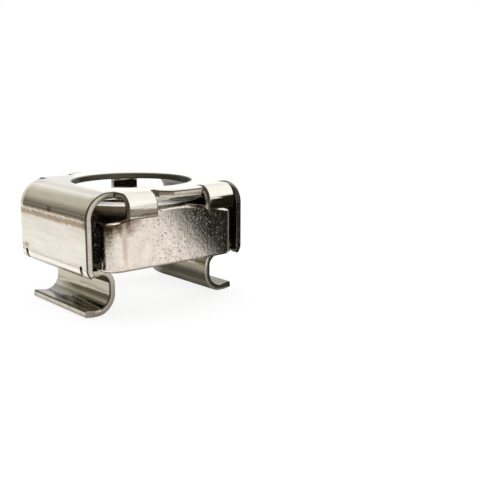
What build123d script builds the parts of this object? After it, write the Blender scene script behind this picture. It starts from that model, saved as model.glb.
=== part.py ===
from build123d import *

import os
from math import cos, radians, sin, tan

# Cage nut for a rack rail with square holes: a square nut held loosely in a folded spring cage.
#
# X runs from one spring leg to the other, Y along the legs and Z up along the thread.
# The origin is on the thread's axis, level with the lowest line of the two legs.
# All sizes are in millimetres.

# The square nut, for a 6 mm screw with 1 mm pitch
NUT_SIZE = 10.6  # across the flats, the same along X and Y
NUT_HEIGHT = 4.1
NUT_CORNER = 1.1
NUT_EDGE = 0.2  # rounding of the lower rim
CROWN_SLOPE = 23.0  # degrees, of the cone that cuts the four upper corners down
CROWN_DEPTH = 0.12  # that the cone takes off the middle of each side
CROWN_EDGE = 0.3  # rounding of the crown's foot
CORE_DIAMETER = 5.0  # of the bore, before its thread
COUNTERSINK_DIAMETER = 6.7  # at both faces, 90 degrees inclusive

# How loosely the cage holds the nut: the gap on each side, and over it
WALL_PLAY = 0.75
TAB_PLAY = 0.5
TOP_PLAY = 0.7

# The cage's sheet and its bends, as inside radii
SHEET = 0.45
TOP_BEND = 1.3
FOOT_BEND = 0.35
TAB_BEND = 0.5

# The cage's plate and side walls
WALL_LENGTH = 9.1  # along Y
PLATE_HOLE = 8.5  # diameter, clears the end of the screw
EAR_TURN = 45.0  # degrees that the wall's two lower corners follow the foot's bend

# The tabs that keep the nut in, and the tongues of the plate between them
TAB_START = 2.1  # along X, from the middle of the plate to a tab's near side
TAB_WIDTH = 2.25
TAB_DROP = 1.65  # from the plate's top to a tab's tip
TAB_CORNER = 0.15
TONGUE_REACH = 0.4  # along Y, from a tab's face to the tongue's edge
TONGUE_TIP = 2.2  # along X, the straight part of a tongue's edge
ROOT_SLIT = 0.3  # wide, between a tongue and a tab

# The spring legs that grip the edges of the rail's square hole
LEG_WIDTH = 7.2  # along Y
LEG_DEPTH = 2.7  # from the rail's face to the lowest line
LEDGE_HOLD = 0.1  # along X, how far the nut's flat underside lies on a ledge
SHOULDER_BEND = 0.7  # inside radius between the ledge and the nose
CURL_BEND = 1.0  # inside radius between the nose and the lip
LIP_SPAN = 12.5  # along X, over the ends of the two lips
LIP_RISE = 8.0  # degrees that a lip turns up towards its end
LEG_RELIEF = 0.35  # width of the slot beside each leg's foot

HALF_SHEET = SHEET / 2
CAGE_WIDTH = NUT_SIZE + 2 * (WALL_PLAY + SHEET)  # along X, outside the walls
TAB_FACE = NUT_SIZE / 2 + TAB_PLAY + SHEET  # along Y, from the middle to a tab's outside
RAIL_FACE = LEG_DEPTH  # height of the feet's underside, which lies on the rail
SEAT = RAIL_FACE + SHEET  # top of the ledges that carry the nut
PLATE_TOP = SEAT + NUT_HEIGHT + TOP_PLAY + SHEET


def beside(point, heading, distance):
    """Return the point at a distance to the left of a heading in degrees."""
    turned = radians(heading)
    return (point[0] - distance * sin(turned), point[1] + distance * cos(turned))


def ahead(point, heading, distance):
    """Return the point at a distance along a heading in degrees."""
    turned = radians(heading)
    return (point[0] + distance * cos(turned), point[1] + distance * sin(turned))


def folded_strip(start, heading, runs):
    """Return the cut face of a folded strip of sheet, given along the middle of its thickness.

    A run is ("flat", length) or ("bend", inside radius, turn in degrees, left positive).
    """
    left_side = []
    right_side = []
    point = start
    for run in runs:
        sides = ((left_side, HALF_SHEET), (right_side, -HALF_SHEET))
        if run[0] == "flat":
            end = ahead(point, heading, run[1])
            for side, off in sides:
                side.append(Line(beside(point, heading, off), beside(end, heading, off)))
            point = end
            continue
        radius, turn = run[1] + HALF_SHEET, run[2]
        centre = beside(point, heading, radius if turn > 0 else -radius)
        away = radius if turn < 0 else -radius
        halfway = heading + turn / 2
        after = heading + turn
        for side, off in sides:
            places = (beside(centre, at, away + off) for at in (heading, halfway, after))
            side.append(ThreePointArc(*places))
        point = beside(centre, after, away)
        heading = after
    caps = [
        Line(left_side[0] @ 0, right_side[0] @ 0),
        Line(left_side[-1] @ 1, right_side[-1] @ 1),
    ]
    return Face(Wire(left_side + right_side + caps))


def wall_section():
    """Return one half of the plate and its wall, down to the ears beside the leg's foot."""
    flat_plate = CAGE_WIDTH / 2 - TOP_BEND - SHEET
    flat_wall = PLATE_TOP - TOP_BEND - RAIL_FACE - FOOT_BEND - 2 * SHEET
    runs = [
        ("flat", flat_plate),
        ("bend", TOP_BEND, -90),
        ("flat", flat_wall),
        ("bend", FOOT_BEND, -EAR_TURN),
    ]
    return folded_strip((0, PLATE_TOP - HALF_SHEET), 0, runs)


def leg_section():
    """Return one leg: its foot under the wall, the ledge, the nose and the curled lip."""
    foot_outer = FOOT_BEND + SHEET
    foot_start = CAGE_WIDTH / 2 - foot_outer
    ledge_end = NUT_SIZE / 2 - NUT_EDGE - LEDGE_HOLD
    shoulder = SHOULDER_BEND + HALF_SHEET
    curl = CURL_BEND + HALF_SHEET
    rise = radians(LIP_RISE)
    lip_start = ledge_end - shoulder + curl + curl * sin(rise)
    lip = (LIP_SPAN / 2 - HALF_SHEET * sin(rise) - lip_start) / cos(rise)
    runs = [
        ("flat", SHEET),
        ("bend", FOOT_BEND, -90),
        ("flat", foot_start - ledge_end),
        ("bend", SHOULDER_BEND, 90),
        ("flat", LEG_DEPTH - shoulder - curl),
        ("bend", CURL_BEND, 90 + LIP_RISE),
        ("flat", lip),
    ]
    start = (CAGE_WIDTH / 2 - HALF_SHEET, RAIL_FACE + foot_outer + SHEET)
    return folded_strip(start, -90, runs)


def both_sides(solid, plane):
    """Return a solid together with its mirror image."""
    return solid + mirror(solid, about=plane)


def relief_slot():
    """Return the cutter for the slot between a leg's foot and the wall's ear."""
    middle = (LEG_WIDTH + LEG_RELIEF) / 2
    top = RAIL_FACE + FOOT_BEND + SHEET
    through = 2 * (FOOT_BEND + SHEET)
    outline = Pos(middle, top - through / 2) * Rectangle(LEG_RELIEF, through)
    outline += Pos(middle, top) * Circle(LEG_RELIEF / 2)
    return extrude(Plane.YZ.offset(CAGE_WIDTH / 2 - through) * outline, 2 * through, dir=(1, 0, 0))


def tab():
    """Return one tab: its root in the plate, the bend and the drop in front of the nut."""
    bend_start = TAB_FACE - TAB_BEND - SHEET
    root = bend_start - WALL_LENGTH / 2 + SHEET
    runs = [
        ("flat", root),
        ("bend", TAB_BEND, -90),
        ("flat", TAB_DROP - TAB_BEND - SHEET),
    ]
    section = folded_strip((bend_start - root, PLATE_TOP - HALF_SHEET), 0, runs)
    solid = extrude(Plane.YZ.offset(TAB_START) * section, TAB_WIDTH, dir=(1, 0, 0))
    tips = solid.edges().filter_by(Axis.Y).group_by(Axis.Z)[0]
    return fillet(tips, TAB_CORNER)


def tongue():
    """Return the stretch of plate between two tabs, with its sloped ends and root slits."""
    half_tip = TONGUE_TIP / 2
    half_root = TAB_START - ROOT_SLIT
    tip = TAB_FACE + TONGUE_REACH
    shoulder = tip - (half_root - half_tip)
    slit_end = TAB_FACE - TAB_BEND - SHEET
    inner = WALL_LENGTH / 2 - SHEET
    outline = make_face(
        Polyline(
            (-TAB_START, inner),
            (TAB_START, inner),
            (TAB_START, slit_end),
            (half_root, slit_end),
            (half_root, shoulder),
            (half_tip, tip),
            (-half_tip, tip),
            (-half_root, shoulder),
            (-half_root, slit_end),
            (-TAB_START, slit_end),
            close=True,
        )
    )
    for side in (-1, 1):
        outline -= Pos(side * (TAB_START - ROOT_SLIT / 2), slit_end) * Circle(ROOT_SLIT / 2)
    return extrude(Plane.XY.offset(PLATE_TOP - SHEET) * outline, SHEET)


def cage():
    """Return the cage, one folded piece of spring sheet."""
    wall = extrude(Plane.XZ * wall_section(), WALL_LENGTH / 2, both=True)
    leg = extrude(Plane.XZ * leg_section(), LEG_WIDTH / 2, both=True)
    side = wall + leg
    slot = relief_slot()
    side -= [slot, mirror(slot, about=Plane.XZ)]
    folded = both_sides(side, Plane.YZ)
    folded += both_sides(tongue(), Plane.XZ)
    folded += both_sides(both_sides(tab(), Plane.YZ), Plane.XZ)
    hole = Pos(0, 0, PLATE_TOP - HALF_SHEET) * Cylinder(PLATE_HOLE / 2, 2 * SHEET)
    return folded - hole


def turned(*outline):
    """Return the solid that a closed outline of (radius, height) points sweeps round the axis."""
    return revolve(Plane.XZ * make_face(Polyline(*outline, close=True)), Axis.Z)


def square_nut():
    """Return the nut, seated on the two ledges of the cage."""
    blank = extrude(RectangleRounded(NUT_SIZE, NUT_SIZE, NUT_CORNER), NUT_HEIGHT)
    slope = tan(radians(CROWN_SLOPE))
    rim = NUT_SIZE / 2 - CROWN_DEPTH / slope
    foot = NUT_HEIGHT - (NUT_SIZE - rim) * slope
    blank &= turned((0, 0), (NUT_SIZE, 0), (NUT_SIZE, foot), (rim, NUT_HEIGHT), (0, NUT_HEIGHT))
    crown = blank.faces().filter_by(GeomType.CONE)[0]
    blank = fillet(crown.edges() - blank.faces().sort_by(Axis.Z)[-1].edges(), CROWN_EDGE)
    blank = fillet(blank.faces().sort_by(Axis.Z)[0].edges(), NUT_EDGE)
    core = CORE_DIAMETER / 2
    mouth = COUNTERSINK_DIAMETER / 2
    depth = mouth - core
    bore = turned(
        (0, 0),
        (mouth, 0),
        (core, depth),
        (core, NUT_HEIGHT - depth),
        (mouth, NUT_HEIGHT),
        (0, NUT_HEIGHT),
    )
    return Pos(0, 0, SEAT) * (blank - bore)


os.makedirs("parts", exist_ok=True)
export_step(cage(), "parts/cage.step")
export_step(square_nut(), "parts/square_nut.step")
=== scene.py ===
from math import atan2, cos, hypot, pi, radians, sin, tan

import bmesh
import bpy
from mathutils import Matrix, Vector


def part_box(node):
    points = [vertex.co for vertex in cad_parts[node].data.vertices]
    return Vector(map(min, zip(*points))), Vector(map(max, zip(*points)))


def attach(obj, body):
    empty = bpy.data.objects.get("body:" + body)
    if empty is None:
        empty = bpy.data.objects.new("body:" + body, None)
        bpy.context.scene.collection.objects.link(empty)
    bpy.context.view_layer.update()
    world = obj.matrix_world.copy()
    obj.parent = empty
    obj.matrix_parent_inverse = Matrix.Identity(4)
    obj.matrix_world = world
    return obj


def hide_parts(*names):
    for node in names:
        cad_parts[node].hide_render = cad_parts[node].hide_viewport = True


# Dressed model of a cage nut: a folded cage of bright stainless sheet round a pressed square nut.
# The outside sizes come from the frame. The sizes of the sheet, its folds and the nut's rims are
# written here. Lengths are in metres, angles in degrees where they are turns of a fold.

MM = 0.001

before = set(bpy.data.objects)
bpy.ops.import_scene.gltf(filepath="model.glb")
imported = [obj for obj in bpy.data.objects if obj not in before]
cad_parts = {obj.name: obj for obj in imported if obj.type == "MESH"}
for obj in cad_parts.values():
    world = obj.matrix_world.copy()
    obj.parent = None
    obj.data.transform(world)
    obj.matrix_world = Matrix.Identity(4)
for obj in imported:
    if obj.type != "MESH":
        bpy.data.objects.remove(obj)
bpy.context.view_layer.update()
_, cage_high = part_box("cage")
nut_low, nut_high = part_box("square_nut")

# Cage, as folded: the sheet, the inside radii of its bends, and its cuts
SHEET = 0.45 * MM
TOP_BEND = 1.3 * MM
FOOT_BEND = 0.35 * MM
TAB_BEND = 0.5 * MM
SHOULDER_BEND = 0.7 * MM
CURL_BEND = 1.0 * MM
WALL_LENGTH = 9.1 * MM
PLATE_HOLE = 8.5 * MM
EAR_TURN = 45.0
EAR_END = 0.12 * MM  # flat at the end of an ear
TAB_START = 2.1 * MM
TAB_WIDTH = 2.25 * MM
TAB_DROP = 1.65 * MM
TAB_CORNER = 0.15 * MM
TAB_FACE = 6.25 * MM
TONGUE_TIP = 2.2 * MM
ROOT_SLIT = 0.3 * MM
LEG_WIDTH = 7.2 * MM
LEG_RELIEF = 0.35 * MM
LEDGE_END = 5.0 * MM
LIP_END = 6.25 * MM
LIP_RISE = 8.0
LIP_SHADE = 0.75 * MM  # height up to which the legs' inside gets the deepest painted shade
CUT_ROUNDING = 0.09 * MM
CUT_ANGLE = radians(50.0)  # edges sharper than this are cut ones
HOLE_FLARE = 0.8 * CUT_ROUNDING
SLIT_REACH = 0.8 * ROOT_SLIT  # how far round a slit's end the edges stay sharp
LEG_TOP = 0.02 * MM  # how far over the rail face the legs' painted shade still reaches
CAGE_SMOOTH = radians(30.0)
FOLD_STEP = 6.0  # degrees of a bend in one facet
FOLD_FACETS = 3  # the fewest facets of a bend
TAB_CUTS = 4  # facets of a tab's corner
EDGE_CUTS = 2  # facets of a rounded cut edge

# Nut: its rims, crown, mouths and thread
NUT_CORNER = 1.1 * MM
NUT_EDGE = 0.2 * MM
CROWN_SLOPE = radians(23.0)
CROWN_DEPTH = 0.12 * MM
CROWN_EDGE = 0.3 * MM
CORE_RADIUS = 2.5 * MM
MOUTH_RADIUS = 3.35 * MM
THREAD_RADIUS = 3.03 * MM
PITCH = 1.0 * MM
FLANK = radians(30.0)  # half of the angle between a thread's flanks
TAP_INSIDE = 0.15 * MM  # how far the tap starts inside the bore
TAP_TIP = PITCH / 16  # half the width of the groove's flat bottom
SIDE_LOOKS_UP = 0.1  # a side's normal rises less than this
CROWN_LOOKS_UP = 0.8  # the crown's normal rises more than this
NUT_SMOOTH = radians(20.0)

# How finely round things are made, and how near two points are one
ROUND = 192  # sides of a round tool
TAP_STEPS = 96  # steps in one turn of the tap
CORNER_CUTS = 16  # facets of the nut's corners
RIM_CUTS = 6  # facets of the nut's rims
SIDE_CUTS = 23  # cuts across each straight side of the nut
TOUCH = 0.01 * MM
MERGE = 0.001 * MM

# Finishes of the cage, by their place in its list; several are darker copies that carry painted
# shade
OUTSIDE, INSIDE, CUT, TAB, LEG, EDGE_SHADE, WALL_INSIDE, PUNCHED_SHADE, LIP = range(9)
EDGE_ROWS = 3  # rows of faces from the inside over a rounded edge
CROWN = 2  # the crown's finish, in the nut's list

CAGE_HALF = cage_high.x
TONGUE_EDGE = cage_high.y
PLATE_TOP = cage_high.z
SEAT = nut_low.z
RAIL_FACE = SEAT - SHEET
NUT_HALF = nut_high.x
NUT_TOP = nut_high.z
NUT_HEIGHT = NUT_TOP - SEAT
HALF_SHEET = SHEET / 2
FOOT_TOP = RAIL_FACE + FOOT_BEND + SHEET  # where the walls begin to turn in
LEDGE_START = CAGE_HALF - FOOT_BEND - SHEET
SLOT_MIDDLE = (LEG_WIDTH + LEG_RELIEF) / 2
TAB_ROOT = TAB_FACE - TAB_BEND - SHEET
HALF_ROOT = TAB_START - ROOT_SLIT  # half the width of a tongue at its root


# ---------------------------------------------------------------- bench tools


def near(value, target):
    """Say whether two coordinates are the same place."""
    return abs(value - target) < TOUCH


def hold(piece):
    """Select a piece alone."""
    bpy.ops.object.select_all(action="DESELECT")
    piece.select_set(True)
    bpy.context.view_layer.objects.active = piece


def take_up(piece):
    """Open a piece for editing, with nothing picked on it."""
    hold(piece)
    bpy.ops.object.mode_set(mode="EDIT")
    bpy.ops.mesh.select_all(action="DESELECT")


def put_down():
    """Close the piece that is open."""
    bpy.ops.object.mode_set(mode="OBJECT")


def pick(piece, kind, test):
    """Pick the vertices, edges or faces of an open piece whose middle passes the test."""
    bpy.ops.mesh.select_all(action="DESELECT")
    bpy.ops.mesh.select_mode(type=kind)
    mesh = bmesh.from_edit_mesh(piece.data)
    for part in {"VERT": mesh.verts, "EDGE": mesh.edges, "FACE": mesh.faces}[kind]:
        if kind == "VERT":
            middle = part.co
        elif kind == "EDGE":
            middle = (part.verts[0].co + part.verts[1].co) / 2
        else:
            middle = part.calc_center_median()
        part.select_set(test(middle))
    mesh.select_flush_mode()
    bmesh.update_edit_mesh(piece.data)


def pick_creases(piece, test):
    """Pick the edges of an open piece whose two faces' normals pass the test."""
    bpy.ops.mesh.select_all(action="DESELECT")
    bpy.ops.mesh.select_mode(type="EDGE")
    mesh = bmesh.from_edit_mesh(piece.data)
    for edge in mesh.edges:
        normals = [face.normal for face in edge.link_faces]
        edge.select_set(len(normals) == 2 and test(*normals))
    bmesh.update_edit_mesh(piece.data)


def finish_with(piece, kind, **settings):
    """Add one modifier to a piece and apply it."""
    hold(piece)
    modifier = piece.modifiers.new(kind.title(), kind)
    for name, value in settings.items():
        setattr(modifier, name, value)
    bpy.ops.object.modifier_apply(modifier=modifier.name)


def cut_with(piece, tool):
    """Cut a piece with a tool, and drop the tool."""
    finish_with(piece, "BOOLEAN", object=tool, operation="DIFFERENCE", solver="EXACT")
    bpy.data.objects.remove(tool)


def drop_slivers(piece):
    """Close up what the cutting tools left too thin to see."""
    take_up(piece)
    bpy.ops.mesh.select_all(action="SELECT")
    bpy.ops.mesh.remove_doubles(threshold=MERGE)
    put_down()


def smooth(piece, angle):
    """Shade a piece smooth up to an angle, with its flats kept flat."""
    hold(piece)
    bpy.ops.object.shade_smooth_by_angle(angle=angle)
    finish_with(piece, "WEIGHTED_NORMAL", mode="FACE_AREA", weight=50, keep_sharp=True)


def raise_face(height):
    """Draw the picked face out along Z."""
    bpy.ops.mesh.extrude_region_move(TRANSFORM_OT_translate={"value": (0, 0, height)})


def face_outward():
    """Turn all faces of the open piece outward."""
    bpy.ops.mesh.select_all(action="SELECT")
    bpy.ops.mesh.normals_make_consistent(inside=False)


def named(name, *materials):
    """Name the piece in hand and give it its materials."""
    piece = bpy.context.object
    piece.name = name
    piece.data.name = name
    piece.data.materials.clear()
    for material in materials:
        piece.data.materials.append(material)
    return piece


# ---------------------------------------------------------------- cutting tools


def slot_punch(centre):
    """Return the round punch for a small slot beside a leg, a touch wider than the slot."""
    bpy.ops.mesh.primitive_cylinder_add(
        vertices=ROUND // 4,
        radius=LEG_RELIEF / 2 + TOUCH,
        depth=3 * SHEET,
        location=centre,
        rotation=(0, pi / 2, 0),
    )
    # The slot's rim gets painted shade.
    tool = named("slot_punch", punched_rim_painted_shade)
    bpy.ops.object.transform_apply(location=True, rotation=True, scale=True)
    return tool


def flared_drill(name, radius, flare, low, high, material):
    """Return a drill for a bore from low to high, which widens at both ends of it."""
    straight = high - low - 2 * flare
    middle = (low + high) / 2
    bpy.ops.mesh.primitive_cylinder_add(
        vertices=ROUND,
        radius=radius,
        depth=straight,
        location=(0, 0, middle),
        rotation=(0, 0, pi / ROUND),
    )
    drill = named(name, material)
    bpy.ops.object.transform_apply(location=True, rotation=True)
    take_up(drill)
    wide = (radius + flare) / radius
    for way in (-1, 1):
        end = middle + way * straight / 2
        pick(drill, "FACE", lambda at: near(at.z, end))
        raise_face(way * flare)
        bpy.ops.transform.resize(value=(wide, wide, 1), center_override=(0, 0, end + way * flare))
        raise_face(way * (high - low))
    put_down()
    return drill


# ---------------------------------------------------------------- folding sheet


def fold(plane, point, heading, runs):
    """Draw the picked edges out along a folded profile, given along the middle of the sheet.

    plane turns a point of the profile into the frame, and a run is ("flat", length) or
    ("bend", inside radius, turn in degrees, left positive).
    """
    axis = plane(1, 0).cross(plane(0, 1))
    x, y = point
    for run in runs:
        aim = radians(heading)
        if run[0] == "flat":
            step = plane(run[1] * cos(aim), run[1] * sin(aim))
            bpy.ops.mesh.extrude_region_move(TRANSFORM_OT_translate={"value": step})
            x, y = x + run[1] * cos(aim), y + run[1] * sin(aim)
            continue
        radius, turn = run[1] + HALF_SHEET, run[2]
        side = 1 if turn > 0 else -1
        centre_x, centre_y = x - side * radius * sin(aim), y + side * radius * cos(aim)
        steps = max(FOLD_FACETS, round(abs(turn) / FOLD_STEP))
        bpy.ops.mesh.spin(
            steps=steps,
            dupli=False,
            angle=-radians(turn),
            center=plane(centre_x, centre_y),
            axis=axis,
        )
        heading += turn
        aim = radians(heading)
        x, y = centre_x + side * radius * sin(aim), centre_y - side * radius * cos(aim)


def across(x, z):
    """Stand a profile across the cage."""
    return Vector((x, 0, z))


def along(y, z):
    """Stand a profile along the cage."""
    return Vector((0, y, z))


def rounded_corners(piece, test, radius):
    """Round the picked corners of the open sheet."""
    pick(piece, "VERT", test)
    bpy.ops.mesh.bevel(affect="VERTICES", offset=radius, segments=TAB_CUTS)


def plate_quarter(piece, middle):
    """Shape the plane into one quarter of the plate, cut in columns for what is folded from it."""
    flat_x = CAGE_HALF - TOP_BEND - SHEET
    flat_y = WALL_LENGTH / 2
    take_up(piece)
    bpy.ops.mesh.select_all(action="SELECT")
    bpy.ops.transform.resize(value=(flat_x, flat_y, 1), center_override=(0, 0, middle))
    for x in (TONGUE_TIP / 2, HALF_ROOT, TAB_START, TAB_START + TAB_WIDTH):
        bpy.ops.mesh.select_all(action="SELECT")
        bpy.ops.mesh.bisect(plane_co=(x, 0, 0), plane_no=(1, 0, 0))
    for y in (LEG_WIDTH / 2, LEG_WIDTH / 2 + LEG_RELIEF):
        bpy.ops.mesh.select_all(action="SELECT")
        bpy.ops.mesh.bisect(plane_co=(0, y, 0), plane_no=(0, 1, 0))
    return flat_x, flat_y


def wall_and_leg(piece, flat_x, middle):
    """Fold the wall down from the plate, then its ear and its leg."""
    pick(piece, "EDGE", lambda at: near(at.x, flat_x))
    wall = [
        ("bend", TOP_BEND, -90),
        ("flat", PLATE_TOP - TOP_BEND - SHEET - FOOT_TOP),
    ]
    fold(across, (flat_x, middle), 0, wall)
    foot = (CAGE_HALF - HALF_SHEET, FOOT_TOP)
    slot_side = LEG_WIDTH / 2 + LEG_RELIEF
    pick(piece, "EDGE", lambda at: near(at.z, FOOT_TOP) and at.y > slot_side)
    fold(across, foot, -90, [("bend", FOOT_BEND, -EAR_TURN), ("flat", EAR_END)])
    pick(piece, "EDGE", lambda at: near(at.z, FOOT_TOP) and at.y < LEG_WIDTH / 2)
    shoulder = SHOULDER_BEND + HALF_SHEET
    curl = CURL_BEND + HALF_SHEET
    rise = radians(LIP_RISE)
    lip_start = LEDGE_END - shoulder + curl + curl * sin(rise)
    leg = [
        ("bend", FOOT_BEND, -90),
        ("flat", LEDGE_START - LEDGE_END),
        ("bend", SHOULDER_BEND, 90),
        ("flat", RAIL_FACE - shoulder - curl),
        ("bend", CURL_BEND, 90 + LIP_RISE),
        ("flat", (LIP_END - HALF_SHEET * sin(rise) - lip_start) / cos(rise)),
    ]
    fold(across, foot, -90, leg)


def tab_and_tongue(piece, flat_y, middle):
    """Fold one tab down from the plate and leave the tongue beside it."""
    tab_end = TAB_START + TAB_WIDTH
    pick(piece, "EDGE", lambda at: near(at.z, middle) and near(at.y, flat_y) and at.x < tab_end)
    fold(along, (flat_y, middle), 0, [("flat", TAB_ROOT - flat_y)])
    pick(piece, "EDGE", lambda at: near(at.y, TAB_ROOT) and at.x > TAB_START)
    drop = [("bend", TAB_BEND, -90), ("flat", TAB_DROP - TAB_BEND - SHEET)]
    fold(along, (TAB_ROOT, middle), 0, drop)
    tip_z = PLATE_TOP - TAB_DROP
    rounded_corners(piece, lambda at: at.y > TAB_ROOT and near(at.z, tip_z), TAB_CORNER)
    shoulder = TONGUE_EDGE - (HALF_ROOT - TONGUE_TIP / 2)
    pick(piece, "EDGE", lambda at: near(at.y, TAB_ROOT) and at.x < HALF_ROOT)
    tongue = [("flat", shoulder - TAB_ROOT), ("flat", TONGUE_EDGE - shoulder)]
    fold(along, (TAB_ROOT, middle), 0, tongue)
    pick(piece, "VERT", lambda at: near(at.y, TONGUE_EDGE) and near(at.x, HALF_ROOT))
    bpy.ops.transform.translate(value=(TONGUE_TIP / 2 - HALF_ROOT, 0, 0))


def round_cut_edges(cage):
    """Round the cut edges of the sheet, apart from the hole's and those in the small slots."""
    slit_middle = TAB_START - ROOT_SLIT / 2
    take_up(cage)
    pick_creases(cage, lambda one, other: one.angle(other) > CUT_ANGLE)
    mesh = bmesh.from_edit_mesh(cage.data)
    for edge in mesh.edges:
        x, y, z = (edge.verts[0].co + edge.verts[1].co) / 2
        at_hole = hypot(x, y) < PLATE_HOLE / 2 + CUT_ROUNDING
        at_foot = abs(x) > LEDGE_START and z < FOOT_TOP + LEG_RELIEF
        at_slot = at_foot and abs(abs(y) - SLOT_MIDDLE) < LEG_RELIEF
        at_slit = hypot(abs(x) - slit_middle, abs(y) - TAB_ROOT) < SLIT_REACH
        if at_hole or at_slot or at_slit:
            edge.select_set(False)
    bmesh.update_edit_mesh(cage.data)
    # The rounded faces take the dark edge colour: painted shade along the cut edges.
    bpy.ops.mesh.bevel(
        offset=CUT_ROUNDING,
        segments=EDGE_CUTS,
        clamp_overlap=False,
        material=EDGE_SHADE,
    )
    put_down()


def borders_inside(face):
    """Say whether a face lies next to one with the inside's finish."""
    neighbours = [other for edge in face.edges for other in edge.link_faces]
    return any(other.material_index == INSIDE for other in neighbours)


def finish_and_shade_outside(cage):
    """Give the tabs their own finish, the legs, the lips and the inside of the walls and plate
    their painted shade, and keep the rounded edges' painted shade to their outer side.
    """
    take_up(cage)
    mesh = bmesh.from_edit_mesh(cage.data)
    for _ in range(EDGE_ROWS):
        rolled = [face for face in mesh.faces if face.material_index == EDGE_SHADE]
        for face in [face for face in rolled if borders_inside(face)]:
            face.material_index = INSIDE
    for face in mesh.faces:
        middle = face.calc_center_median()
        at_foot = abs(middle.x) > LEDGE_END and middle.z < FOOT_TOP + LEG_RELIEF
        if face.material_index == EDGE_SHADE and at_foot:
            at_slot = abs(abs(middle.y) - SLOT_MIDDLE) < LEG_RELIEF
            face.material_index = CUT if at_slot else EDGE_SHADE
        elif face.material_index == OUTSIDE and abs(middle.y) > WALL_LENGTH / 2:
            face.material_index = TAB
        elif face.material_index == OUTSIDE and middle.z < RAIL_FACE + LEG_TOP:
            face.material_index = LEG if middle.z > LIP_SHADE else LIP
        elif face.material_index == INSIDE and SEAT < middle.z and abs(middle.y) < WALL_LENGTH / 2:
            face.material_index = WALL_INSIDE
    bmesh.update_edit_mesh(cage.data)
    put_down()


def folded_cage():
    """Return the cage: plate, walls, legs, tabs and tongues folded from one sheet."""
    middle = PLATE_TOP - HALF_SHEET
    bpy.ops.mesh.primitive_plane_add(size=1, location=(0, 0, 0))
    # Several of these materials are darker copies of the steel that carry painted shade.
    sheet = (sheet_steel, sheet_inside, cut_steel, tab_steel, leg_painted_shade)
    cage = named("folded_cage", *sheet, edge_painted_shade, wall_inside_painted_shade, punched_rim_painted_shade, lip_painted_shade)
    take_up(cage)
    bpy.ops.mesh.select_all(action="SELECT")
    bpy.ops.transform.translate(value=(0.5, 0.5, middle))
    put_down()
    flat_x, flat_y = plate_quarter(cage, middle)
    wall_and_leg(cage, flat_x, middle)
    tab_and_tongue(cage, flat_y, middle)
    bpy.ops.mesh.select_all(action="SELECT")
    bpy.ops.mesh.remove_doubles(threshold=MERGE)
    put_down()
    finish_with(cage, "MIRROR", use_axis=(True, True, False), merge_threshold=MERGE)
    take_up(cage)
    face_outward()
    put_down()
    finish_with(
        cage,
        "SOLIDIFY",
        thickness=SHEET,
        offset=0.0,
        use_even_offset=True,
        material_offset=INSIDE,
        material_offset_rim=CUT,
    )
    under, radius = PLATE_TOP - SHEET, PLATE_HOLE / 2
    # The hole's rim gets painted shade.
    hole = flared_drill("hole_punch", radius, HOLE_FLARE, under, PLATE_TOP, punched_rim_painted_shade)
    cut_with(cage, hole)
    for side in (-1, 1):
        for end in (-1, 1):
            centre = (side * (CAGE_HALF - HALF_SHEET), end * SLOT_MIDDLE, FOOT_TOP)
            cut_with(cage, slot_punch(centre))
    drop_slivers(cage)
    round_cut_edges(cage)
    finish_and_shade_outside(cage)
    smooth(cage, CAGE_SMOOTH)
    return cage


# ---------------------------------------------------------------- pressing the nut


def at_crown(one, other):
    """Say whether two faces, given by their normals, are a side and the crown."""
    return min(one.z, other.z) < SIDE_LOOKS_UP and max(one.z, other.z) > CROWN_LOOKS_UP


def pressed_blank():
    """Return the nut's blank: a square block with round corners, a coned crown and soft rims."""
    bpy.ops.mesh.primitive_plane_add(size=2 * NUT_HALF, location=(0, 0, SEAT))
    blank = named("pressed_nut", nut_steel, thread_steel, nut_crown)
    bpy.ops.object.transform_apply(location=True)
    take_up(blank)
    bpy.ops.mesh.select_all(action="SELECT")
    bpy.ops.mesh.bevel(affect="VERTICES", offset=NUT_CORNER, segments=CORNER_CUTS)
    bpy.ops.mesh.select_all(action="SELECT")
    bpy.ops.mesh.delete(type="ONLY_FACE")
    pick(blank, "EDGE", lambda at: near(at.x, 0) or near(at.y, 0))
    bpy.ops.mesh.subdivide(number_cuts=SIDE_CUTS)
    bpy.ops.mesh.select_all(action="SELECT")
    bpy.ops.mesh.edge_face_add()
    raise_face(NUT_HEIGHT)
    press_crown(blank)
    pick_creases(blank, at_crown)
    bpy.ops.mesh.bevel(offset=CROWN_EDGE * tan((pi / 2 - CROWN_SLOPE) / 2), segments=RIM_CUTS)
    pick(blank, "EDGE", lambda at: near(at.z, SEAT))
    bpy.ops.mesh.bevel(offset=NUT_EDGE, segments=RIM_CUTS)
    put_down()
    return blank


def press_crown(blank):
    """Draw the open blank's picked top in to a round flat, and let its rim down along the cone."""
    rim = NUT_HALF - CROWN_DEPTH / tan(CROWN_SLOPE)
    raise_face(0)
    mesh = bmesh.from_edit_mesh(blank.data)
    for vertex in mesh.verts:
        if near(vertex.co.z, NUT_TOP):
            reach = hypot(vertex.co.x, vertex.co.y)
            if vertex.select:
                vertex.co.xy *= rim / reach
            else:
                vertex.co.z -= (reach - rim) * tan(CROWN_SLOPE)
    bmesh.update_edit_mesh(blank.data)
    face_outward()
    mesh = bmesh.from_edit_mesh(blank.data)
    for face in mesh.faces:
        if face.normal.z > CROWN_LOOKS_UP:
            face.material_index = CROWN
    bmesh.update_edit_mesh(blank.data)


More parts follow.
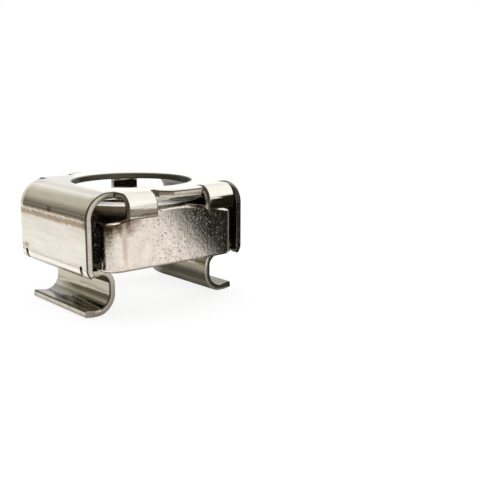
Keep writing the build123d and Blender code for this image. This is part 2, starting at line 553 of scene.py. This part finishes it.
def thread_tap():
    """Return the helical ridge that cuts the thread's groove, closed at both ends."""
    root = CORE_RADIUS - TAP_INSIDE
    foot = TAP_TIP + (THREAD_RADIUS - root) * tan(FLANK)
    middle = ((root + THREAD_RADIUS) / 2, 0, SEAT - PITCH)
    bpy.ops.mesh.primitive_plane_add(size=1, location=middle, rotation=(pi / 2, 0, 0))
    tap = named("tap", thread_steel)
    tap.scale = (THREAD_RADIUS - root, 2 * foot, 1)
    bpy.ops.object.transform_apply(location=True, rotation=True, scale=True)
    take_up(tap)
    pick(tap, "EDGE", lambda at: near(at.x, THREAD_RADIUS))
    bpy.ops.transform.resize(value=(1, 1, TAP_TIP / foot), center_override=middle)
    bpy.ops.mesh.select_all(action="SELECT")
    bpy.ops.mesh.delete(type="ONLY_FACE")
    put_down()
    finish_with(
        tap,
        "SCREW",
        axis="Z",
        angle=2 * pi,
        screw_offset=PITCH,
        iterations=round(NUT_HEIGHT / PITCH) + 2,
        steps=TAP_STEPS,
        render_steps=TAP_STEPS,
        use_merge_vertices=True,
        merge_threshold=0.1 * MERGE,
    )
    take_up(tap)
    bpy.ops.mesh.select_mode(type="EDGE")
    bpy.ops.mesh.select_non_manifold()
    bpy.ops.mesh.fill()
    face_outward()
    put_down()
    return tap


def pressed_nut():
    """Return the nut: a square blank with its crown pressed, bored, countersunk and tapped."""
    nut = pressed_blank()
    countersink = MOUTH_RADIUS - CORE_RADIUS
    bore = flared_drill("drill", CORE_RADIUS, countersink, SEAT, NUT_TOP, nut_steel)
    cut_with(nut, bore)
    cut_with(nut, thread_tap())
    drop_slivers(nut)
    smooth(nut, NUT_SMOOTH)
    return nut


# ---------------------------------------------------------------- finishes, some with painted shade

STREAK_SHADES = (0.88, 1.04)  # darkest and lightest share of the colour in the drawn marks
STAIN_CELLS = (420, 420, 420)
STAIN_MOST = 0.5
STAIN_EDGE = (0.52, 0.75)  # where the clouds of stain begin and are full
MARK_EDGE = (0.75, 1.3)  # where a mark's colour is full and ends, in its reaches
PIT_EDGE = (0.62, 0.72)  # where a pit begins and is full
PIT_FEWEST = 0.1
# share of the colour left in the pits: painted shade in the hollows
PIT_SHADE = 0.6


def wiring(owner):
    """Return the nodes and the links of a material or of the room."""
    return owner.node_tree.nodes, owner.node_tree.links


def grain_of(material, scale, detail=4.0):
    """Return a noise on the piece's own coordinates, with its cells per metre along X, Y and Z."""
    nodes, links = wiring(material)
    place = nodes.new("ShaderNodeTexCoord")
    stretch = nodes.new("ShaderNodeMapping")
    stretch.inputs["Scale"].default_value = scale
    noise = nodes.new("ShaderNodeTexNoise")
    noise.inputs["Scale"].default_value = 1.0
    noise.inputs["Detail"].default_value = detail
    links.new(place.outputs["Object"], stretch.inputs["Vector"])
    links.new(stretch.outputs["Vector"], noise.inputs["Vector"])
    return noise.outputs["Fac"]


def spread(material, source, low, high, start=0.3, end=0.7):
    """Return a value that runs from low to high as the source runs from start to end."""
    nodes, links = wiring(material)
    scale = nodes.new("ShaderNodeMapRange")
    scale.inputs["From Min"].default_value = start
    scale.inputs["From Max"].default_value = end
    scale.inputs["To Min"].default_value = low
    scale.inputs["To Max"].default_value = high
    links.new(source, scale.inputs["Value"])
    return scale.outputs["Result"]


def tinted(material, colour, shade, how, amount=None):
    """Return a colour laid over another one, by the way and the amount given."""
    nodes, links = wiring(material)
    mix = nodes.new("ShaderNodeMix")
    mix.data_type = "RGBA"
    mix.blend_type = how
    mix.inputs["Factor"].default_value = 1.0
    if amount is not None:
        links.new(amount, mix.inputs["Factor"])
    for name, value in (("A", colour), ("B", shade)):
        if isinstance(value, tuple):
            mix.inputs[name].default_value = (*value, 1)
        else:
            links.new(value, mix.inputs[name])
    return mix.outputs["Result"]


def product(material, one, other):
    """Return two values multiplied."""
    nodes, links = wiring(material)
    times = nodes.new("ShaderNodeMath")
    times.operation = "MULTIPLY"
    links.new(one, times.inputs[0])
    links.new(other, times.inputs[1])
    return times.outputs["Value"]


def mark_at(material, place, reach, ragged):
    """Return the mask of one mark round a place, in millimetres, with a ragged edge.

    A reach of None lets the mark run on without end that way.
    """
    nodes, links = wiring(material)
    where = nodes.new("ShaderNodeTexCoord")
    centred = nodes.new("ShaderNodeMapping")
    scale = [0.0 if size is None else 1 / (size * MM) for size in reach]
    centred.inputs["Scale"].default_value = scale
    centred.inputs["Location"].default_value = [-at * MM * each for at, each in zip(place, scale)]
    distance = nodes.new("ShaderNodeVectorMath")
    distance.operation = "LENGTH"
    total = nodes.new("ShaderNodeMath")
    total.operation = "ADD"
    links.new(where.outputs["Object"], centred.inputs["Vector"])
    links.new(centred.outputs["Vector"], distance.inputs[0])
    links.new(distance.outputs["Value"], total.inputs[0])
    links.new(grain_of(material, ragged, detail=6.0), total.inputs[1])
    return spread(material, total.outputs["Value"], 1.0, 0.0, *MARK_EDGE)


def pits_of(material, scale, calm, rough, clean):
    """Return the mask of small pits, which crowd at one place along X between two calmer ones."""
    nodes, links = wiring(material)
    where = nodes.new("ShaderNodeTexCoord")
    apart = nodes.new("ShaderNodeSeparateXYZ")
    links.new(where.outputs["Object"], apart.inputs["Vector"])
    crowd = spread(material, apart.outputs["X"], PIT_FEWEST, 1.0, calm * MM, rough * MM)
    ease = spread(material, apart.outputs["X"], 1.0, PIT_FEWEST, rough * MM, clean * MM)
    pits = spread(material, grain_of(material, scale, detail=2.0), 0.0, 1.0, *PIT_EDGE)
    return product(material, pits, product(material, crowd, ease))


def steel(name, colour, stain, gloss, streak, relief, marks=(), pits=None):
    """Return a bare steel finish, or a darker copy of one that carries painted shade.

    gloss is the least and the greatest roughness, streak the scale of its drawn marks, and
    relief a list of (scale, height) for the waves and grain of its surface. marks is a list of
    (place, reach, raggedness, colour) of its stains and darker patches, and pits is the scale and
    the depth of its pits, darkened as painted shade, and the three places where they are few,
    crowded and few again.
    """
    material = bpy.data.materials.new(name)
    material.use_nodes = True
    nodes, links = wiring(material)
    shader = nodes["Principled BSDF"]
    shader.inputs["Metallic"].default_value = 1.0
    drawn = grain_of(material, streak, detail=6.0)
    clouds = grain_of(material, STAIN_CELLS, detail=3.0)
    shade = tinted(material, colour, spread(material, drawn, *STREAK_SHADES), "MULTIPLY")
    stained = spread(material, clouds, 0.0, STAIN_MOST, *STAIN_EDGE)
    shade = tinted(material, shade, stain, "MIX", stained)
    for place, reach, ragged, dirt in marks:
        shade = tinted(material, shade, dirt, "MIX", mark_at(material, place, reach, ragged))
    hollows = []
    if pits:
        scale, depth, *places = pits
        mask = pits_of(material, scale, *places)
        # The pits' colour is darkened: painted shade in the hollows.
        shade = tinted(material, shade, tuple(PIT_SHADE * part for part in colour), "MIX", mask)
        hollows = [(mask, -depth)]
    links.new(shade, shader.inputs["Base Color"])
    links.new(spread(material, drawn, gloss[1], gloss[0]), shader.inputs["Roughness"])
    under = None
    waves = [(grain_of(material, scale), height) for scale, height in relief]
    for source, height in waves + hollows:
        bump = nodes.new("ShaderNodeBump")
        bump.invert = height < 0
        bump.inputs["Strength"].default_value = 1.0
        bump.inputs["Distance"].default_value = abs(height)
        links.new(source, bump.inputs["Height"])
        if under:
            links.new(under, bump.inputs["Normal"])
        under = bump.outputs["Normal"]
    links.new(under, shader.inputs["Normal"])
    return material


BROWN = (0.34, 0.26, 0.18)

sheet_steel = steel(
    "bright sheet",
    colour=(0.70, 0.665, 0.60),
    stain=(0.55, 0.49, 0.42),
    gloss=(0.05, 0.12),
    streak=(2600, 300, 2600),
    relief=[((1100, 700, 1100), 0.006 * MM), ((4600, 3400, 4600), 0.005 * MM)],
    marks=[
        ((0, 0, 6.35), (None, None, 0.34), (2600, 2600, 2600), BROWN),
        ((-6.5, 0.3, 6.9), (1.0, 0.5, 0.35), (3000, 3000, 3000), BROWN),
        ((-6.5, 3.9, 3.9), (1.0, 0.7, 0.35), (2200, 2200, 2200), BROWN),
    ],
)
# The sheet's inside: rougher than the outside, and darker in colour as painted shade.
sheet_inside = steel(
    "duller inside with painted shade",
    colour=(0.62, 0.585, 0.52),
    stain=(0.48, 0.43, 0.37),
    gloss=(0.10, 0.20),
    streak=(2600, 260, 2600),
    relief=[((900, 500, 900), 0.006 * MM), ((5200, 2600, 5200), 0.003 * MM)],
)
# The inside of the walls and the plate's underside: nearly black, painted shade inside the cage.
wall_inside_painted_shade = steel(
    "wall inside with painted shade",
    colour=(0.22, 0.205, 0.17),
    stain=(0.14, 0.125, 0.10),
    gloss=(0.14, 0.26),
    streak=(2600, 260, 2600),
    relief=[((900, 500, 900), 0.006 * MM), ((5200, 2600, 5200), 0.003 * MM)],
)
# The legs below the rail face: darker, painted shade beneath the cage.
leg_painted_shade = steel(
    "curled leg with painted shade",
    colour=(0.41, 0.38, 0.315),
    stain=(0.26, 0.23, 0.175),
    gloss=(0.08, 0.18),
    streak=(3200, 240, 3200),
    relief=[((1300, 160, 1300), 0.010 * MM), ((5200, 900, 5200), 0.006 * MM)],
)
# The lowest part of the legs: nearly black, the deepest painted shade inside the curl.
lip_painted_shade = steel(
    "lip with deep painted shade",
    colour=(0.19, 0.175, 0.14),
    stain=(0.12, 0.105, 0.08),
    gloss=(0.10, 0.20),
    streak=(3200, 240, 3200),
    relief=[((1300, 160, 1300), 0.006 * MM), ((5200, 900, 5200), 0.006 * MM)],
)
tab_steel = steel(
    "bright tab",
    colour=(0.70, 0.67, 0.61),
    stain=(0.55, 0.49, 0.42),
    gloss=(0.06, 0.13),
    streak=(260, 2600, 2600),
    relief=[((700, 1100, 1100), 0.004 * MM), ((900, 5200, 5200), 0.004 * MM)],
    marks=[
        ((0, 0, 7.0), (None, None, 0.11), (700, 2600, 3600), (0.34, 0.28, 0.20)),
        ((0, 0, 6.78), (None, None, 0.08), (1500, 2600, 3600), (0.36, 0.30, 0.22)),
    ],
)
cut_steel = steel(
    "sheared edge",
    colour=(0.52, 0.475, 0.41),
    stain=(0.40, 0.35, 0.29),
    gloss=(0.20, 0.34),
    streak=(2500, 2500, 2500),
    relief=[((3500, 3500, 3500), 0.004 * MM)],
)
# Rims of the plate's hole and the small slots: nearly black, painted shade in the openings.
punched_rim_painted_shade = steel(
    "punched rim with painted shade",
    colour=(0.13, 0.125, 0.10),
    stain=(0.08, 0.075, 0.06),
    gloss=(0.25, 0.40),
    streak=(1500, 1500, 9000),
    relief=[((1500, 1500, 9000), 0.003 * MM)],
)
# Rounded cut edges: nearly black, painted shade along the edges, kept on their outer side.
edge_painted_shade = steel(
    "rounded edge with painted shade",
    colour=(0.10, 0.088, 0.07),
    stain=(0.05, 0.043, 0.035),
    gloss=(0.25, 0.40),
    streak=(2500, 2500, 2500),
    relief=[((3500, 3500, 3500), 0.004 * MM)],
)
nut_steel = steel(
    "pressed steel",
    colour=(0.69, 0.635, 0.575),
    stain=(0.56, 0.47, 0.41),
    gloss=(0.12, 0.24),
    streak=(1500, 1500, 900),
    relief=[((1000, 1000, 800), 0.006 * MM), ((5200, 5200, 4600), 0.012 * MM)],
    # Darker brown patches on the face: a large one at its top left corner near the crown, and a
    # strip down the face by its left corner.
    marks=[
        ((-4.5, -5.2, 6.35), (2.4, 2.4, 1.2), (2600, 2600, 2600), (0.15, 0.095, 0.06)),
        ((-4.1, -5.3, 5.0), (0.32, 1.0, 2.4), (1600, 1600, 700), (0.50, 0.42, 0.35)),
    ],
    pits=((7400, 7400, 6400), 0.08 * MM, -2.2, 0.9, 2.5),
)
nut_crown = steel(
    "pressed crown",
    colour=(0.62, 0.57, 0.51),
    stain=(0.42, 0.33, 0.27),
    gloss=(0.08, 0.16),
    streak=(1500, 1500, 1500),
    relief=[((900, 900, 900), 0.006 * MM), ((5000, 5000, 5000), 0.002 * MM)],
)
thread_steel = steel(
    "cut thread",
    colour=(0.62, 0.58, 0.52),
    stain=(0.42, 0.38, 0.33),
    gloss=(0.10, 0.20),
    streak=(900, 900, 6000),
    relief=[((1500, 1500, 6000), 0.002 * MM)],
)


# ---------------------------------------------------------------- studio

LOOK_TURN = radians(-41.178)
LOOK_DOWN = radians(11.585)
LOOK_ROLL = radians(0.236)
CAMERA_PLACE = (-30.95 * MM, -47.24 * MM, 15.46 * MM)
CAMERA_LENS = 58.59
TABLE_RADIUS = 0.4
TABLE_GLOW = 1.08
TABLE_SHARE = 0.80  # how much of the table that the eye sees is its glow
ROOM_LIGHT = 0.35
CARD_FLOOR = 0.04  # millimetres above the table at which a lying card stays
NEIGHBOUR = (-0.1, -19.9)  # the near end of the neighbour's face, in millimetres
BEIGE = (0.70, 0.67, 0.58)
BLACK = (0.02, 0.02, 0.02)


def glow(material, strength):
    """Return a material's nodes and links, and a plain light for its surface."""
    nodes, links = wiring(material)
    light = nodes.new("ShaderNodeEmission")
    light.inputs["Strength"].default_value = strength
    return nodes, links, light


def white_table():
    """Set up the table under the cage nut, white to the eye, with a soft shadow on it."""
    bpy.ops.mesh.primitive_circle_add(vertices=96, radius=TABLE_RADIUS, fill_type="NGON")
    table = named("table")
    material = bpy.data.materials.new("white table")
    material.use_nodes = True
    nodes, links, light = glow(material, TABLE_GLOW)
    shader = nodes["Principled BSDF"]
    shader.inputs["Base Color"].default_value = (0.95, 0.95, 0.95, 1)
    shader.inputs["Roughness"].default_value = 1.0
    shader.inputs["Specular IOR Level"].default_value = 0.0
    path = nodes.new("ShaderNodeLightPath")
    share = nodes.new("ShaderNodeMath")
    share.operation = "MULTIPLY"
    share.inputs[1].default_value = TABLE_SHARE
    blend = nodes.new("ShaderNodeMixShader")
    links.new(path.outputs["Is Camera Ray"], share.inputs[0])
    links.new(share.outputs["Value"], blend.inputs["Fac"])
    links.new(shader.outputs["BSDF"], blend.inputs[1])
    links.new(light.outputs["Emission"], blend.inputs[2])
    links.new(blend.outputs["Shader"], nodes["Material Output"].inputs["Surface"])
    table.data.materials.append(material)


def card(name, colour, start, end, heights=(CARD_FLOOR, CARD_FLOOR)):
    """Set up a coloured card that only the steel sees, in millimetres.

    It stands between two places of the table, each given as (x, y), from one height to the
    other. Where both heights are the same it lies there, with the two places as its corners.
    """
    wide, deep = end[0] - start[0], end[1] - start[1]
    centre = ((start[0] + end[0]) / 2, (start[1] + end[1]) / 2, sum(heights) / 2)
    size, turn = (abs(wide), abs(deep), 1), (0, 0, 0)
    if heights[0] != heights[1]:
        size = (hypot(wide, deep), heights[1] - heights[0], 1)
        turn = (pi / 2, 0, atan2(deep, wide))
    bpy.ops.mesh.primitive_plane_add(size=MM, location=Vector(centre) * MM, rotation=turn)
    panel = named(name)
    panel.scale = size
    bpy.ops.object.transform_apply(location=True, rotation=True, scale=True)
    material = bpy.data.materials.new(name)
    material.use_nodes = True
    nodes, links, light = glow(material, strength=1.0)
    light.inputs["Color"].default_value = (*colour, 1)
    links.new(light.outputs["Emission"], nodes["Material Output"].inputs["Surface"])
    panel.data.materials.append(material)
    for ray in ("camera", "diffuse", "shadow", "transmission", "volume_scatter"):
        setattr(panel, "visible_" + ray, False)
    return panel


def fade(panel, first, last, way, start, end):
    """Let a card's colour run from the first to the last, between two distances along a way."""
    material = panel.data.materials[0]
    nodes, links = wiring(material)
    place = nodes.new("ShaderNodeTexCoord")
    distance = nodes.new("ShaderNodeVectorMath")
    distance.operation = "DOT_PRODUCT"
    links.new(place.outputs["Object"], distance.inputs[0])
    distance.inputs[1].default_value = way
    amount = spread(material, distance.outputs["Value"], 0.0, 1.0, start * MM, end * MM)
    links.new(tinted(material, first, last, "MIX", amount), nodes["Emission"].inputs["Color"])


def beside(name, colour, span, heights, before=0.0):
    """Set up a card at the neighbour's face, which runs along the look, or a little before it."""
    away = Vector((-sin(LOOK_TURN), cos(LOOK_TURN)))
    front = Vector(NEIGHBOUR) + before * Vector((-away.y, away.x))
    start, end = (tuple(front + reach * away) for reach in span)
    return card(name, colour, start, end, heights)


def softbox(name, size, place, power):
    """Hang a square soft lamp that faces the object."""
    lamp = bpy.data.lights.new(name, "AREA")
    lamp.shape = "SQUARE"
    lamp.size = size
    lamp.energy = power
    holder = bpy.data.objects.new(name, lamp)
    bpy.context.scene.collection.objects.link(holder)
    holder.location = place
    holder.rotation_euler = (-Vector(place)).to_track_quat("-Z", "Y").to_euler()


def white_room():
    """Light the room evenly, and show it white to the camera and in the steel."""
    world = bpy.data.worlds.new("white room")
    bpy.context.scene.world = world
    world.use_nodes = True
    nodes, links = wiring(world)
    path = nodes.new("ShaderNodeLightPath")
    seen = path.outputs["Is Camera Ray"]
    for ray in ("Is Glossy Ray", "Is Transmission Ray"):
        either = nodes.new("ShaderNodeMath")
        either.operation = "MAXIMUM"
        links.new(seen, either.inputs[0])
        links.new(path.outputs[ray], either.inputs[1])
        seen = either.outputs["Value"]
    level = nodes.new("ShaderNodeMapRange")
    level.inputs["To Min"].default_value = ROOM_LIGHT
    level.inputs["To Max"].default_value = 1.0
    links.new(seen, level.inputs["Value"])
    background = nodes["Background"]
    background.inputs["Color"].default_value = (1, 1, 1, 1)
    links.new(level.outputs["Result"], background.inputs["Strength"])


def camera():
    """Set the camera a little above the plate, looking past the front left corner."""
    lens = bpy.data.cameras.new("camera")
    lens.sensor_width = 36.0
    lens.lens = CAMERA_LENS
    lens.clip_start = MM
    lens.clip_end = 10.0
    holder = bpy.data.objects.new("camera", lens)
    bpy.context.scene.collection.objects.link(holder)
    turn = (
        Matrix.Rotation(LOOK_TURN, 4, "Z")
        @ Matrix.Rotation(pi / 2 - LOOK_DOWN, 4, "X")
        @ Matrix.Rotation(LOOK_ROLL, 4, "Z")
    )
    holder.matrix_world = Matrix.Translation(CAMERA_PLACE) @ turn
    bpy.context.scene.camera = holder


def studio():
    """Set up the table, the lamp, the room and the cards round the cage nut."""
    white_table()
    white_room()
    softbox("overhead softbox", size=0.9, place=(0.0, 0.1, 0.8), power=5.0)
    card("white far left", (1.12, 1.10, 1.06), (-26, -60), (-19, 70))
    card("white near left", (1.20, 1.18, 1.15), (-19, -60), (-12.5, 60))
    card("white by the left leg", (1.36, 1.33, 1.28), (-12.5, -10.5), (-6.9, 40))
    card("white near front", (1.24, 1.21, 1.19), (-12.5, -60), (3, -10.5))
    card("grey by the left leg", (0.50, 0.47, 0.42), (-5.2, -10.5), (0.8, -3.8))
    card("low dark strip", (0.20, 0.18, 0.14), (-12.5, -8), (-12.5, 30), (0.05, 0.4))
    card("dark far left", (0.34, 0.30, 0.23), (-80, -60), (-26, 110))
    for low, high, tone in ((0, 3.5, 0.07), (3.5, 12, 0.28), (12, 16, 0.20)):
        card("dark strip", (tone, 0.92 * tone, 0.76 * tone), (-52, -60), (-52, 130), (low, high))
    strip = card("strip above it", BEIGE, (-52, -60), (-52, 130), (16, 60))
    fade(strip, (0.24, 0.22, 0.18), BEIGE, (0, 0, 1), 16, 50)
    card("beige side", BEIGE, (-70, -60), (-70, 300), (0, 230))
    back = card("beige back", BEIGE, (-70, 200), (40, 200), (60, 230))
    fade(back, BEIGE, (1.2, 1.19, 1.16), (1, 0, 0), -45, 30)
    card("white backdrop", (1.22, 1.22, 1.21), (126, 235), (412, -15), (0, 500))
    card("white side", (1.40, 1.40, 1.37), (-11, -150), (173, 60), (22, 300))
    card("grey front", (0.55, 0.53, 0.47), (-94, -16.5), (-4, -95.5), (0, 90))
    card("white ceiling", (1.28, 1.28, 1.25), (-60, -100), (300, 300), (260, 260))
    card("shade under", (0.52, 0.48, 0.41), (-3.8, -4), (0, 14))
    card("deep shade under", (0.12, 0.11, 0.09), (0, -4), (3.6, 14))
    card("dark by the right leg", (0.05, 0.05, 0.04), (5, -11), (10.5, -3.8))
    right = beside("dark neighbour", BLACK, (0, 17), (0, 8.2))
    leaning = (-sin(LOOK_TURN), cos(LOOK_TURN), 0.85)
    fade(right, (1.24, 1.21, 1.17), (0.015, 0.015, 0.01), leaning, -3.5, -1.2)
    level = (leaning[0], leaning[1], 0)
    end = beside("neighbour's far end", BLACK, (17, 30), (0, 8.2))
    fade(end, (0.02, 0.02, 0.015), (0.60, 0.58, 0.52), level, 2, 14)
    bands = ((4.75, 4.95, 0.08), (4.95, 5.1, 0.36), (5.1, 5.25, 0.12), (5.25, 5.8, 0.35))
    for low, high, tone in bands:
        beside("brown neighbour", (tone, 0.82 * tone, 0.62 * tone), (2.9, 6.9), (low, high), 0.3)
    beside("light above it", (1.1, 1.06, 1.0), (5.8, 10.4), (6.3, 8.2), 0.3)
    camera()


bpy.context.scene.view_settings.view_transform = "Standard"
bpy.ops.object.select_all(action="DESELECT")

cage = folded_cage()
nut = pressed_nut()
for piece, node, slot in ((cage, "cage", "cage_sheet"), (nut, "square_nut", "nut_steel")):
    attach(piece, "root")
    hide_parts(node)
studio()
